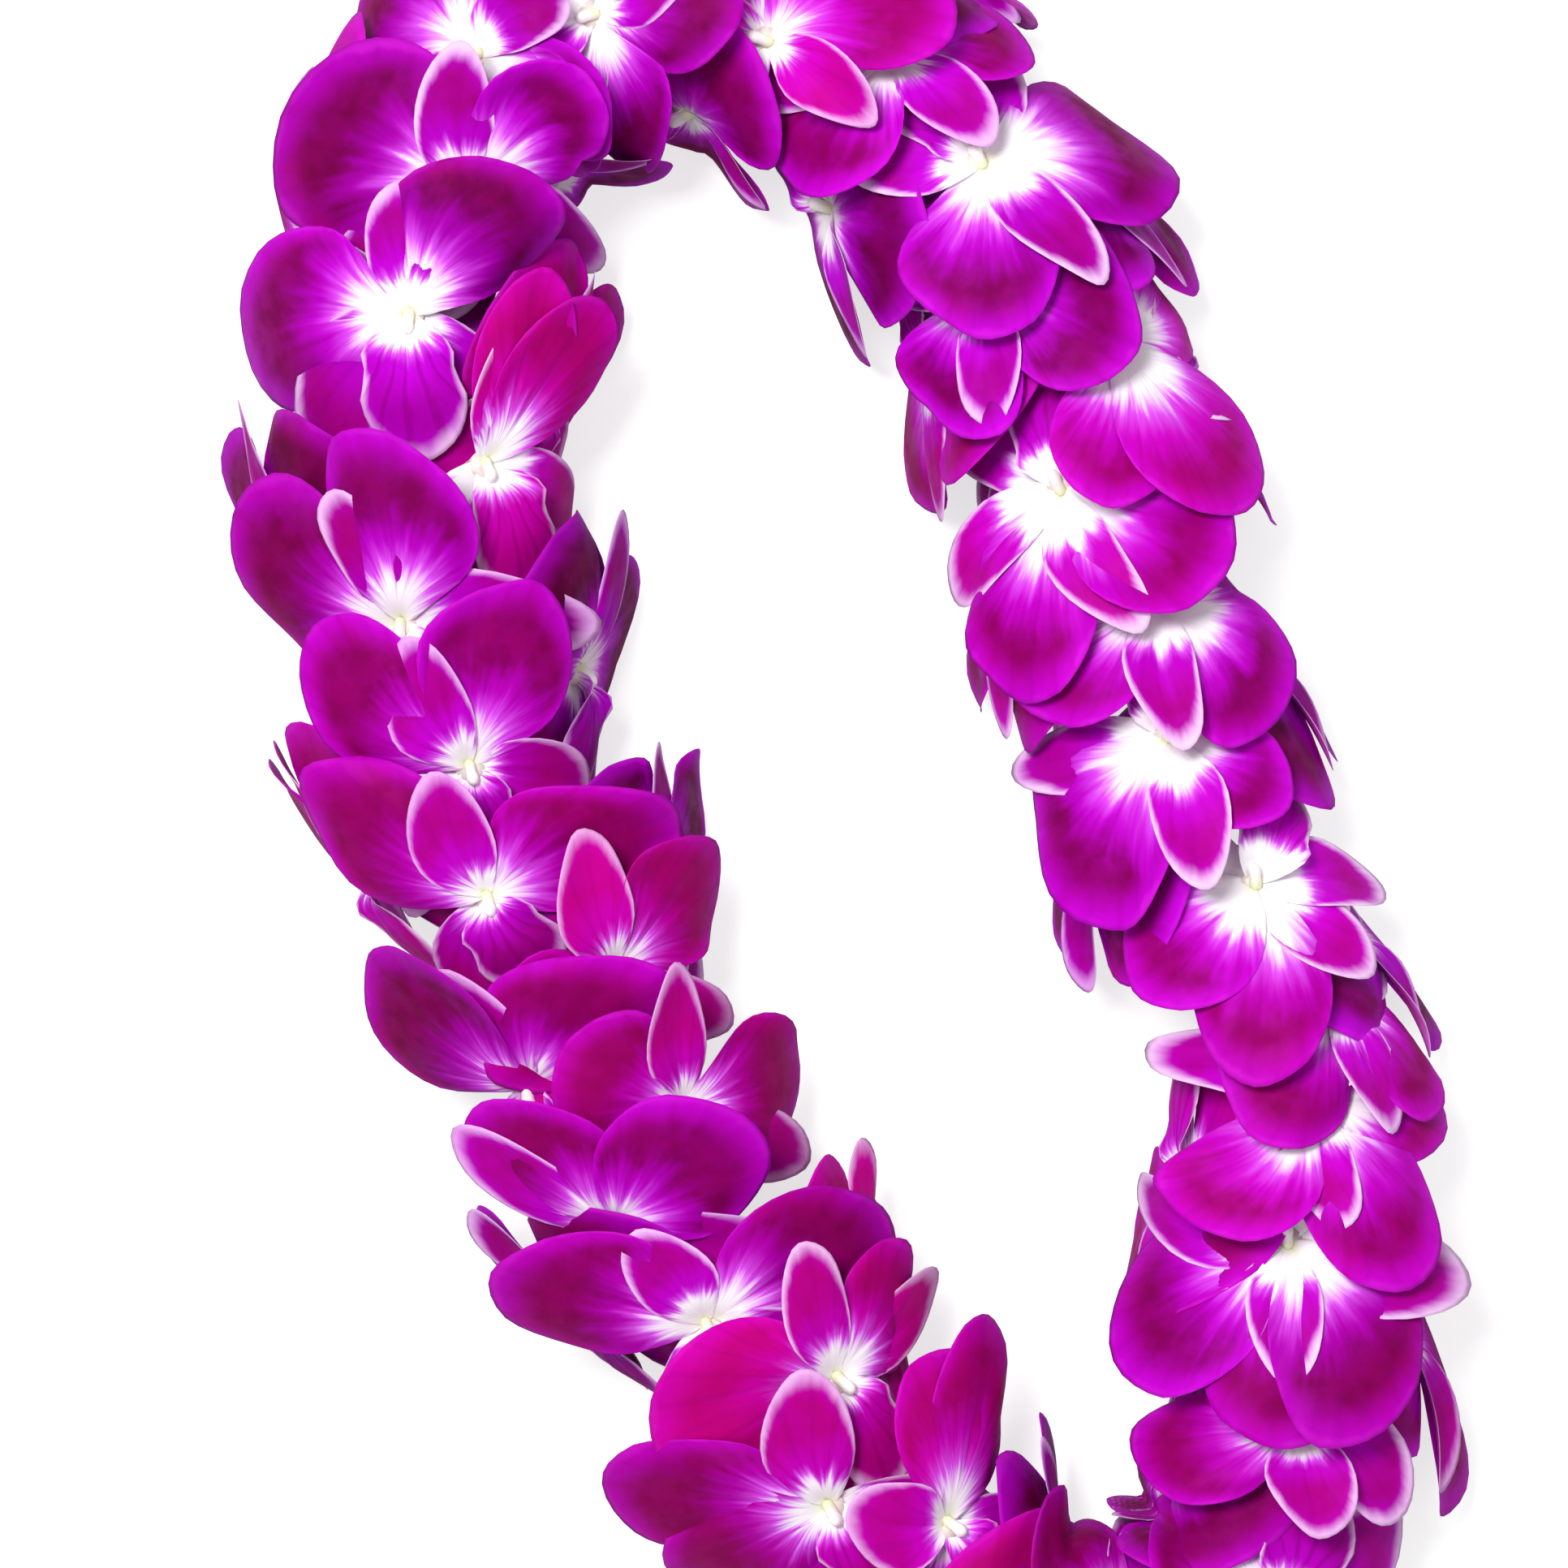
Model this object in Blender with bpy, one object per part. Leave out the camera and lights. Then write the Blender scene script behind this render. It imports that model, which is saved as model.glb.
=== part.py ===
# Fresh orchid lei: blossoms threaded one behind another on a closed cotton thread.
# The ring lies flat, long axis along Y, +Z up. Every blossom faces outward from the
# thread and its tepals sweep back over the blossom before it, like shingles.
import math
import random

import bmesh
import bpy
import numpy as np
from mathutils import Matrix, Vector

# Path of the thread: corners of a smooth closed curve, millimetres, seen from above
loopCorners = [
    (33, 214), (-42, 212), (-69, 151), (-82, 92), (-88, 28), (-75, -32),
    (-65, -96), (-46, -151), (-19, -214), (50, -214), (72, -147), (88, -92),
    (81, -26), (79, 34), (84, 99), (68, 157),
]
mm = 0.001
pathSamples = 1740

# Thread
threadDiameter = 0.9 * mm
threadHeight = 30.0 * mm
knotRadius = 1.9 * mm
tailLength = 7.0 * mm
threadSteps = 132

# Blossoms along the top: place on the thread in mm, turn towards the outside of the
# ring and roll of the blossom in its own plane, both in degrees
topBlossoms = [
    (33, 0, 0), (61, 12, 10), (92, -14, -10), (124, 5, 0), (161, -30, -20), (198, 18, 25),
    (235, 0, 15), (266, 12, 5), (296, -25, 15), (312, 36, 15), (333, -25, -20), (351, 26, -15),
    (382, 10, 0), (411, -25, 10), (435, 12, -25), (457, -26, -25), (490, 15, 0), (522, -18, 10),
    (556, 12, -10), (598, 0, 0), (642, -8, 15), (676, 10, -20), (697, 36, 0), (729, 18, -20),
    (770, 0, -15), (803, 14, -20), (835, -20, 10), (865, 25, -15), (890, -24, 10), (916, 14, -25),
    (949, 16, 0), (976, -12, 10),
]
undersideTurn = math.radians(103.0)
undersideGap = 24 * mm
placeJitter = 1.5 * mm
turnJitter = math.radians(9.0)
rollJitter = math.radians(16.0)
sizeJitter = 0.05
riseJitter = 1.2 * mm
petalLength = 41.0 * mm
petalWidth = 33.0 * mm
sepalLength = 37.0 * mm
sepalWidth = 19.0 * mm
lipLength = 27.0 * mm
lipWidth = 18.0 * mm
tepalThickness = 1.1 * mm
petalAngle = math.radians(66.0)
sideSepalAngle = math.radians(142.0)
rimSteps = 20

# How far the blossom face stands from the thread, backward and forward of its centre
throatHeight = 26.5 * mm
backSlope = 0.46
backRise = 27.0 * mm
frontSlope = 0.30
frontDrop = 14.0 * mm

# Forward tepals are tucked in behind the next neck on the same side
neckRoom = 5.8 * mm
sameSide = math.radians(98.0)
longestFront = 60 * mm

# Neck running from the thread through the face, ending in the column
neckRadius = 3.1 * mm
columnRadius = 2.1 * mm
columnHeight = 4.0 * mm
neckBelow = 3.2 * mm
holeRadius = 1.15 * mm

# The underside is pressed flat by the table, the inside of each bend is crowded
tablePress = 30.0 * mm
bendCrowd = 0.80
tightestScale = 0.70

# Petals reaching round the thread stand off from it instead of hugging it
standOff = 0.06

# The garland is wider than it is tall, and fuller along the left side
spread = 0.18
fullerSpread = 0.11
fullestPlace = 0.27


def clearScene():
    for thing in list(bpy.data.objects):
        bpy.data.objects.remove(thing, do_unlink=True)


def makeMaterial(name, colour, roughness):
    material = bpy.data.materials.new(name)
    material.use_nodes = True
    shader = material.node_tree.nodes["Principled BSDF"]
    shader.inputs["Base Color"].default_value = (*colour, 1.0)
    shader.inputs["Roughness"].default_value = roughness
    shader.inputs["Metallic"].default_value = 0.0
    material.diffuse_color = (*colour, 1.0)
    return material


class StringPath:
    """Closed cubic B-spline, walked by arc length."""
    def __init__(self):
        corners = np.array(loopCorners, float) * mm
        count = len(corners)
        steps = np.arange(pathSamples * 2) / (pathSamples * 2) * count
        index = steps.astype(int)
        t = (steps - index)[:, None]
        blends = [
            (1 - t) ** 3 / 6,
            (3 * t ** 3 - 6 * t ** 2 + 4) / 6,
            (-3 * t ** 3 + 3 * t ** 2 + 3 * t + 1) / 6,
            t ** 3 / 6,
        ]
        points = sum(blend * corners[(index - 1 + k) % count] for k, blend in enumerate(blends))
        ends = np.vstack([points, points[:1]])
        lengths = np.concatenate([[0.0], np.cumsum(np.linalg.norm(np.diff(ends, axis=0), axis=1))])
        self.length = lengths[-1]
        at = np.arange(pathSamples) * self.length / pathSamples
        self.points = np.stack([np.interp(at, lengths, ends[:, k]) for k in range(2)], axis=1)
        step = self.length / pathSamples
        ahead = np.roll(self.points, -1, axis=0)
        behind = np.roll(self.points, 1, axis=0)
        self.along = (ahead - behind) / np.linalg.norm(ahead - behind, axis=1)[:, None]
        turn = (np.roll(self.along, -1, axis=0) - np.roll(self.along, 1, axis=0)) / (2 * step)
        self.curve = self.along[:, 0] * turn[:, 1] - self.along[:, 1] * turn[:, 0]

    def sample(self, table, s):
        place = (s / self.length * pathSamples) % pathSamples
        low = int(place)
        share = place - low
        return table[low] * (1 - share) + table[(low + 1) % pathSamples] * share

    def frame(self, s):
        point = self.sample(self.points, s)
        along = self.sample(self.along, s)
        along = along / np.linalg.norm(along)
        return point, along, float(self.sample(self.curve, s))


def squash(value, limit):
    return limit * math.tanh(value / limit)


def widening(path, s):
    return spread + fullerSpread * math.cos(2 * math.pi * (s / path.length - fullestPlace))


def toWorld(path, s, turn, height):
    """Thread position, turn round the thread and height above it, to a point in space."""
    point, along, curve = path.frame(s)
    out = height * math.sin(turn) * (1 + widening(path, s))
    up = height * math.cos(turn)
    if out < 0 and curve > 0:
        out = squash(out, bendCrowd / curve)
    if out > 0 and curve < 0:
        out = squash(out, bendCrowd / -curve)
    if up < 0:
        up = squash(up, tablePress)
    return Vector((
        point[0] + along[1] * out,
        point[1] - along[0] * out,
        threadHeight + up,
    ))


def faceHeight(shift):
    if shift < 0:
        return throatHeight + backRise * (1 - math.exp(shift * backSlope / backRise))
    return throatHeight - frontDrop * (1 - math.exp(-shift * frontSlope / frontDrop))


def lobe(angle, length, width):
    facing = math.cos(angle)
    if facing <= 0:
        return 0.0
    ratio = (length / width) ** 2
    return length * facing / (facing ** 2 + ratio * math.sin(angle) ** 2)


def outline(angle):
    """Reach of the blossom's edge, angle measured from the backward direction."""
    lobes = [
        (0.0, sepalLength, sepalWidth),
        (petalAngle, petalLength, petalWidth),
        (-petalAngle, petalLength, petalWidth),
        (sideSepalAngle, sepalLength, sepalWidth),
        (-sideSepalAngle, sepalLength, sepalWidth),
        (math.pi, lipLength, lipWidth),
    ]
    return max(lobe(angle - centre, length, width) for centre, length, width in lobes)


def blossomPlan(path):
    """Where each blossom sits on the thread and which way it looks."""
    dice = random.Random(5)
    plan = []
    side = 1
    for number, (place, turn, roll) in enumerate(topBlossoms):
        place = place * mm
        after = topBlossoms[(number + 1) % len(topBlossoms)][0] * mm
        gap = (after - place) % path.length
        plan.append([place, math.radians(turn), math.radians(roll)])
        # one blossom faces down and outward in each gap that has room for it
        if gap > undersideGap:
            middle = place + gap / 2 + dice.uniform(-1, 1) * placeJitter
            lean = side * undersideTurn + dice.uniform(-1, 1) * turnJitter
            plan.append([middle, lean, dice.uniform(-1, 1) * rollJitter])
            side = -side
    for spot in plan:
        spot.append(1 + dice.uniform(-1, 1) * sizeJitter)
        spot.append(dice.uniform(-1, 1) * riseJitter)
    for spot in plan:
        room = longestFront
        for other in plan:
            gap = (other[0] - spot[0]) % path.length
            apart = abs(math.remainder(other[1] - spot[1], 2 * math.pi))
            if 0 < gap < room + neckRoom and apart < sameSide:
                room = gap - neckRoom
        spot.append(room)
    return plan


def meshObject(name, shape, material):
    mesh = bpy.data.meshes.new(name)
    shape.to_mesh(mesh)
    shape.free()
    thing = bpy.data.objects.new(name, mesh)
    leiCollection.objects.link(thing)
    mesh.materials.append(material)
    return thing


def combine(thing, tool, operation):
    """Bake one exact Boolean into the object and drop the tool."""
    change = thing.modifiers.new("combine", "BOOLEAN")
    change.operation = operation
    change.solver = "EXACT"
    change.object = tool
    bpy.context.view_layer.update()
    solid = thing.evaluated_get(bpy.context.evaluated_depsgraph_get())
    mesh = bpy.data.meshes.new_from_object(solid)
    thing.modifiers.remove(change)
    old = thing.data
    thing.data = mesh
    bpy.data.meshes.remove(old)
    bpy.data.objects.remove(tool, do_unlink=True)


def makeBlossom(name, path, place, turn, roll, size, rise, room, material):
    point, along, curve = path.frame(place)
    forward = Vector((along[0], along[1], 0.0))
    centre = Vector((point[0], point[1], threadHeight))
    facing = toWorld(path, place, turn, throatHeight + rise) - centre
    reachOut = facing.length
    facing.normalize()
    stand = Matrix.Identity(4)
    for column, axis in enumerate((forward, facing.cross(forward), facing)):
        for row in range(3):
            stand[row][column] = axis[row]
    stand.translation = centre
    back = stand.inverted()

    # Face: a lobed disc, bent round the thread
    shape = bmesh.new()
    bmesh.ops.create_cone(shape, cap_ends=True, cap_tris=True, segments=rimSteps // 2,
                          radius1=1.0, radius2=1.0, depth=tepalThickness)
    spokes = [edge for edge in shape.edges if min(v.co.xy.length for v in edge.verts) < 0.5]
    level = [edge for edge in shape.edges if edge.verts[0].co.z * edge.verts[1].co.z > 0]
    rim = [edge for edge in level if edge not in spokes]
    bmesh.ops.subdivide_edges(shape, edges=spokes, cuts=1)
    bmesh.ops.subdivide_edges(shape, edges=rim, cuts=1)
    bmesh.ops.triangulate(shape, faces=shape.faces[:])
    for v in shape.verts:
        reach = v.co.xy.length
        if reach > 0.9:
            reach = 1.0
        angle = math.atan2(v.co.y, v.co.x)
        edge = outline(angle) * size * reach
        ahead = -edge * math.cos(angle + roll)
        aside = edge * math.sin(angle + roll)
        scale = max(tightestScale, 1 + curve * throatHeight * math.sin(turn))
        shift = ahead / scale
        if shift > 0:
            shift = squash(shift, room)
        height = faceHeight(shift) + rise
        bend = aside / (height * (1 + 0.7 * widening(path, place)))
        lift = standOff * aside ** 2 / (2 * height)
        spot = toWorld(path, place + shift, turn + bend, height + lift + v.co.z)
        v.co = back @ spot
    bmesh.ops.recalc_face_normals(shape, faces=shape.faces[:])
    thing = meshObject(name, shape, material)
    thing.matrix_world = stand

    # Neck and column
    low = -neckBelow
    high = reachOut + columnHeight
    shape = bmesh.new()
    bmesh.ops.create_cone(shape, cap_ends=True, segments=6, radius1=neckRadius,
                          radius2=columnRadius, depth=high - low,
                          matrix=Matrix.Translation((0.0, 0.0, (high + low) / 2)))
    neck = meshObject("neck", shape, material)
    neck.matrix_world = stand
    combine(thing, neck, "UNION")

    # Hole the thread runs through
    shape = bmesh.new()
    bmesh.ops.create_cone(shape, cap_ends=True, segments=6, radius1=holeRadius,
                          radius2=holeRadius, depth=neckRadius * 4,
                          matrix=Matrix.Rotation(math.pi / 2, 4, "Y"))
    hole = meshObject("hole", shape, material)
    hole.matrix_world = stand
    combine(thing, hole, "DIFFERENCE")
    return thing


def makeThread(path, material):
    curve = bpy.data.curves.new("thread", "CURVE")
    curve.dimensions = "3D"
    curve.bevel_depth = threadDiameter / 2
    curve.bevel_resolution = 1
    curve.use_fill_caps = False
    line = curve.splines.new("POLY")
    line.points.add(threadSteps - 1)
    for number in range(threadSteps):
        point, along, bend = path.frame(number * path.length / threadSteps)
        line.points[number].co = (point[0], point[1], threadHeight, 1.0)
    line.use_cyclic_u = True
    thing = bpy.data.objects.new("threadCurve", curve)
    leiCollection.objects.link(thing)
    bpy.context.view_layer.update()
    solid = thing.evaluated_get(bpy.context.evaluated_depsgraph_get())
    mesh = bpy.data.meshes.new_from_object(solid)
    bpy.data.objects.remove(thing, do_unlink=True)
    thread = bpy.data.objects.new("thread", mesh)
    leiCollection.objects.link(thread)
    mesh.materials.clear()
    mesh.materials.append(material)

    # Knot with its two cut ends, half way between the last blossom and the first
    point, along, bend = path.frame(0.0)
    spot = Vector((point[0], point[1], threadHeight))
    shape = bmesh.new()
    bmesh.ops.create_icosphere(shape, subdivisions=1, radius=knotRadius)
    knot = meshObject("knot", shape, material)
    knot.location = spot
    combine(thread, knot, "UNION")
    for side in (-1, 1):
        lean = Vector((along[0] * side * 0.5, along[1] * side * 0.5, 1.0)).to_track_quat("Z", "Y")
        shape = bmesh.new()
        bmesh.ops.create_cone(shape, cap_ends=True, segments=6, radius1=threadDiameter / 2,
                              radius2=threadDiameter / 2, depth=tailLength,
                              matrix=Matrix.Translation((0.0, 0.0, tailLength / 2)))
        tail = meshObject("tail", shape, material)
        tail.rotation_mode = "QUATERNION"
        tail.rotation_quaternion = lean
        tail.location = spot + Vector((along[0], along[1], 0.0)) * side * 0.0005
        combine(thread, tail, "UNION")
    return thread


def settle(things):
    """Rest the ring on the ground with its footprint centred."""
    bpy.context.view_layer.update()
    spots = [thing.matrix_world @ v.co for thing in things for v in thing.data.vertices]
    low = [min(spot[k] for spot in spots) for k in range(3)]
    high = [max(spot[k] for spot in spots) for k in range(3)]
    move = Matrix.Translation((-(low[0] + high[0]) / 2, -(low[1] + high[1]) / 2, -low[2]))
    for thing in things:
        thing.matrix_world = move @ thing.matrix_world


clearScene()
leiCollection = bpy.data.collections.new("flower lei")
bpy.context.scene.collection.children.link(leiCollection)
tepalMaterial = makeMaterial("orchid tepal", (0.36, 0.004, 0.24), 0.55)
threadMaterial = makeMaterial("cotton thread", (0.80, 0.62, 0.70), 0.85)
path = StringPath()
things = []
for number, spot in enumerate(blossomPlan(path)):
    things.append(makeBlossom(f"blossom_{number + 1:02d}", path, *spot, tepalMaterial))
things.append(makeThread(path, threadMaterial))
settle(things)
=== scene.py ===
import math
import random

import bpy
import numpy as np
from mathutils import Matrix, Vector


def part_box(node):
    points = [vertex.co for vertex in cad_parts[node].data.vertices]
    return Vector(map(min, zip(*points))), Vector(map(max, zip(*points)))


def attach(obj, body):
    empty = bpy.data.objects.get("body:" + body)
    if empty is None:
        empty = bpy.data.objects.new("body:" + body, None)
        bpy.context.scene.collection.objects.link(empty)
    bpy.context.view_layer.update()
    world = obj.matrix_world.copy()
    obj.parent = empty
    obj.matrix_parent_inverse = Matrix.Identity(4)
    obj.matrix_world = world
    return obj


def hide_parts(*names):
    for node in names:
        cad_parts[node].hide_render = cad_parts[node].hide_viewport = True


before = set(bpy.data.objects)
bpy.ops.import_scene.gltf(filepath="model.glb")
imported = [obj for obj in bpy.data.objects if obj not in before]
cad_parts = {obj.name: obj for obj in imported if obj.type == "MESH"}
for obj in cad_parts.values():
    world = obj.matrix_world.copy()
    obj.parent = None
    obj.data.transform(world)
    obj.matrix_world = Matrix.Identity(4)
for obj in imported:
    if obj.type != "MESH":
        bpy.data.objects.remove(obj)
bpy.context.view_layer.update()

mm = 0.001

ring = {
    "corners": [
        (33, 214), (-42, 212), (-69, 151), (-82, 92), (-88, 28), (-75, -32),
        (-65, -96), (-46, -151), (-19, -214), (50, -214), (72, -147), (88, -92),
        (81, -26), (79, 34), (84, 99), (68, 157),
    ],
    "samples": 1740,
    "knotRadius": 1.9 * mm,
    # blossoms on top: place on the string in mm, turn to the outside and roll in degrees
    "top": [
        (33, 0, 0), (61, 12, 10), (92, -14, -10), (124, 5, 0), (161, -30, -20), (198, 18, 25),
        (235, 0, 15), (266, 12, 5), (296, -25, 15), (312, 36, 15), (333, -25, -20), (351, 26, -15),
        (382, 10, 0), (411, -25, 10), (435, 12, -25), (457, -26, -25), (490, 15, 0), (522, -18, 10),
        (556, 12, -10), (598, 0, 0), (642, -8, 15), (676, 10, -20), (697, 36, 0), (729, 18, -20),
        (770, 0, -15), (803, 14, -20), (835, -20, 10), (865, 25, -15), (890, -24, 10), (916, 14, -25),
        (949, 16, 0), (976, -12, 10),
    ],
    "undersideTurn": 103.0,
    "undersideGap": 24 * mm,
    "placeJitter": 1.5 * mm,
    "turnJitter": 9.0,
    "rollJitter": 16.0,
    "sizeJitter": 0.05,
    "riseJitter": 1.2 * mm,
    "seed": 5,
    "faceHeight": 26.5 * mm,     # blossom face above the string
    "backSlope": 0.46,
    "backRise": 27.0 * mm,
    "frontSlope": 0.30,
    "frontDrop": 14.0 * mm,
    "tablePress": 24.0 * mm,
    "bendCrowd": 0.80,
    "tightestScale": 0.70,
    "spread": 0.18,
    "fullerSpread": 0.11,
    "fullestPlace": 0.27,
    "standOff": 0.30,            # petals reaching round the string stand off from it
    "tuck": 0.05,                # and side blossoms keep close where they reach up under the top ones
    "sideLift": 0.86,            # side blossoms open a little upward, towards the light
    "sideDrop": 2.8 * mm,
    "skirtTurn": 70.0,           # past this turn side petals reach outward more than round the string
    "skirtBend": 0.58, "skirtReach": 0.18,
    "widest": 49.0 * mm,
    "wideningShare": 0.7,        # of the widening, how much a blossom's own width follows
    "leastCurve": 1e-4,
}


def makeRingPath():
    corners = np.array(ring["corners"], float) * mm
    count = len(corners)
    samples = ring["samples"]
    steps = np.arange(samples * 2) / (samples * 2) * count
    index = steps.astype(int)
    t = (steps - index)[:, None]
    blends = [(1 - t) ** 3 / 6, (3 * t ** 3 - 6 * t ** 2 + 4) / 6,
              (-3 * t ** 3 + 3 * t ** 2 + 3 * t + 1) / 6, t ** 3 / 6]
    points = sum(b * corners[(index - 1 + k) % count] for k, b in enumerate(blends))
    ends = np.vstack([points, points[:1]])
    lengths = np.concatenate([[0.0], np.cumsum(np.linalg.norm(np.diff(ends, axis=0), axis=1))])
    total = lengths[-1]
    at = np.arange(samples) * total / samples
    even = np.stack([np.interp(at, lengths, ends[:, k]) for k in range(2)], axis=1)
    ahead, behind = np.roll(even, -1, axis=0), np.roll(even, 1, axis=0)
    along = (ahead - behind) / np.linalg.norm(ahead - behind, axis=1)[:, None]
    turn = (np.roll(along, -1, axis=0) - np.roll(along, 1, axis=0)) / (2 * total / samples)
    curve = along[:, 0] * turn[:, 1] - along[:, 1] * turn[:, 0]
    # the solid thread says where the ring came to rest
    low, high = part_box("thread")
    middle = (even.min(0) + even.max(0)) / 2
    even = even + np.array([(low.x + high.x) / 2, (low.y + high.y) / 2]) - middle
    return {"length": total, "points": even, "along": along, "curve": curve,
            "z": low.z + ring["knotRadius"]}


path = makeRingPath()


def pathSample(table, s):
    spot = (np.asarray(s, float) / path["length"] * len(table)) % len(table)
    low = np.floor(spot).astype(int) % len(table)
    share = spot - np.floor(spot)
    after = (low + 1) % len(table)
    if table.ndim == 2:
        share = share[..., None]
    return table[low] * (1 - share) + table[after] * share


def squash(value, limit):
    return limit * np.tanh(value / limit)


def press(value, limit):
    # like squash, but hardly felt before the limit
    return value / np.sqrt(1 + (value / limit) ** 4) ** 0.5


def faceHeight(shift):
    # the face rises behind the throat and falls away before it
    behind, before = np.minimum(shift, 0), np.maximum(shift, 0)
    back = ring["backRise"] * (1 - np.exp(behind * ring["backSlope"] / ring["backRise"]))
    front = ring["frontDrop"] * (1 - np.exp(-before * ring["frontSlope"] / ring["frontDrop"]))
    return ring["faceHeight"] + back - front


def widening(s):
    # one arm of the ring is fuller than the other
    place = s / path["length"] - ring["fullestPlace"]
    return ring["spread"] + ring["fullerSpread"] * np.cos(2 * math.pi * place)


def toWorld(s, turn, height):
    # a place on the string, a turn round it and a height above it become a point in space
    s, turn, height = np.broadcast_arrays(np.asarray(s, float), turn, height)
    point = pathSample(path["points"], s)
    along = pathSample(path["along"], s)
    along = along / np.linalg.norm(along, axis=-1)[..., None]
    curve = pathSample(path["curve"], s)
    out = height * np.sin(turn) * (1 + widening(s))
    up = height * np.cos(turn)
    limit = ring["bendCrowd"] / np.maximum(np.abs(curve), ring["leastCurve"])
    out = np.where(out * curve < 0, squash(out, limit), out)
    up = np.where(up < 0, press(up, ring["tablePress"]), up)
    return np.stack([point[..., 0] + along[..., 1] * out,
                     point[..., 1] - along[..., 0] * out,
                     path["z"] + up], axis=-1)


def blossomPlan():
    dice = random.Random(ring["seed"])
    plan = []
    side = 1
    for number, (place, turn, roll) in enumerate(ring["top"]):
        start = place * mm
        after = ring["top"][(number + 1) % len(ring["top"])][0] * mm
        gap = (after - start) % path["length"]
        plan.append({"place": start, "turn": math.radians(turn), "roll": math.radians(roll), "key": place})
        if gap > ring["undersideGap"]:
            middle = start + gap / 2 + dice.uniform(-1, 1) * ring["placeJitter"]
            lean = side * math.radians(ring["undersideTurn"])
            lean += dice.uniform(-1, 1) * math.radians(ring["turnJitter"])
            roll = dice.uniform(-1, 1) * math.radians(ring["rollJitter"])
            plan.append({"place": middle, "turn": lean, "roll": roll, "key": None})
            side = -side
    for spot in plan:
        spot["size"] = 1 + dice.uniform(-1, 1) * ring["sizeJitter"]
        spot["rise"] = dice.uniform(-1, 1) * ring["riseJitter"]
        if spot["key"] is None:
            spot["turn"] *= ring["sideLift"]
            spot["rise"] -= ring["sideDrop"]
    return plan


def onBlossom(spot, ahead, aside, lift):
    # flat blossom coordinates (forward along the string, round it, off the face) to space
    curve = float(pathSample(path["curve"], spot["place"]))
    scale = max(ring["tightestScale"], 1 + curve * ring["faceHeight"] * math.sin(spot["turn"]))
    shift = ahead / scale
    height = faceHeight(shift) + spot["rise"]
    bend = aside / (height * (1 + ring["wideningShare"] * widening(spot["place"])))
    turn = spot["turn"] + bend
    off = ring["standOff"] * aside ** 2 / (2 * height)
    if spot["key"] is None:
        off = np.where(bend * spot["turn"] < 0, off * ring["tuck"] / ring["standOff"], off)
        past = np.maximum(np.abs(turn) - math.radians(ring["skirtTurn"]), 0)
        turn = turn - np.sign(turn) * past * (1 - ring["skirtBend"])
        height = press(height + past * height * ring["skirtReach"], ring["widest"])
    return toWorld(spot["place"] + shift, turn, height + off + lift)


class Rule:
    # short way to write sums and nodes in a tree
    def __init__(self, tree):
        self.tree = tree

    def plug(self, node, inputs):
        # each socket's name or place, with a value or with the socket that feeds it
        for key, value in inputs.items():
            if hasattr(value, "is_output"):
                self.tree.links.new(value, node.inputs[key])
            else:
                node.inputs[key].default_value = value

    def add(self, kind, inputs=None, out=0, **settings):
        node = self.tree.nodes.new(kind)
        for key, value in settings.items():
            setattr(node, key, value)
        self.plug(node, inputs or {})
        return node.outputs[out]

    def do(self, operation, *values):
        return self.add("ShaderNodeMath", dict(enumerate(values)), operation=operation)

    def plus(self, first, second):
        return self.do("ADD", first, second)

    def minus(self, first, second):
        return self.do("SUBTRACT", first, second)

    def times(self, first, second):
        return self.do("MULTIPLY", first, second)

    def over(self, first, second):
        return self.do("DIVIDE", first, second)

    def ramp(self, *values):
        # value, low and high, and if they aren't 0 and 1 what it becomes there
        return self.add("ShaderNodeMapRange", dict(enumerate(values)), interpolation_type="SMOOTHSTEP")

    def mix(self, share, first, second):
        return self.add("ShaderNodeMix", {0: share, 6: first, 7: second}, 2, data_type="RGBA")

    def attribute(self, name):
        return self.add("ShaderNodeAttribute", None, "Fac", attribute_name=name)

    def noise(self, vector, scale, detail=2.0, rough=0.5):
        return self.add("ShaderNodeTexNoise", {
            "Vector": vector, "Scale": scale, "Detail": detail, "Roughness": rough}, "Fac")

    def objectNoise(self, scale, detail=2.0):
        return self.noise(self.add("ShaderNodeTexCoord", None, "Object"), scale, detail)

    def vector(self, x, y, z):
        return self.add("ShaderNodeCombineXYZ", {0: x, 1: y, 2: z})

    def bump(self, height, strength, distance):
        return self.add("ShaderNodeBump", {"Height": height, "Strength": strength, "Distance": distance})


def linear(r, g, b):
    def one(c):
        c = c / 255
        return c / 12.92 if c <= 0.04045 else ((c + 0.055) / 1.055) ** 2.4
    return (one(r), one(g), one(b), 1.0)


def openTree(tree, inputs, outputs):
    for name, kind, value in inputs:
        socket = tree.interface.new_socket(name, in_out="INPUT", socket_type="NodeSocket" + kind)
        if value is not None:
            socket.default_value = value
    for name, kind in outputs:
        tree.interface.new_socket(name, in_out="OUTPUT", socket_type="NodeSocket" + kind)
    return Rule(tree), tree.nodes.new("NodeGroupInput").outputs, tree.nodes.new("NodeGroupOutput")


def closeTree(rule, given, end, geometry):
    # one real mesh that carries its finish
    real = rule.add("GeometryNodeRealizeInstances", {0: geometry})
    finish = {"Geometry": real, "Material": given["Finish"]}
    rule.plug(end, {0: rule.add("GeometryNodeSetMaterial", finish)})


def newFinish(name):
    material = bpy.data.materials.new(name)
    material.use_nodes = True
    tree = material.node_tree
    return material, Rule(tree), tree.nodes["Principled BSDF"]


def addObject(name, data):
    thing = bpy.data.objects.new(name, data)
    bpy.context.scene.collection.objects.link(thing)
    return thing


fanForm = {"tipSharp": -60.0, "clawEnd": -18.0, "bulgeMiddle": 0.5, "leastArch": 0.35, "fanUnit": 1.3}


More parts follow.
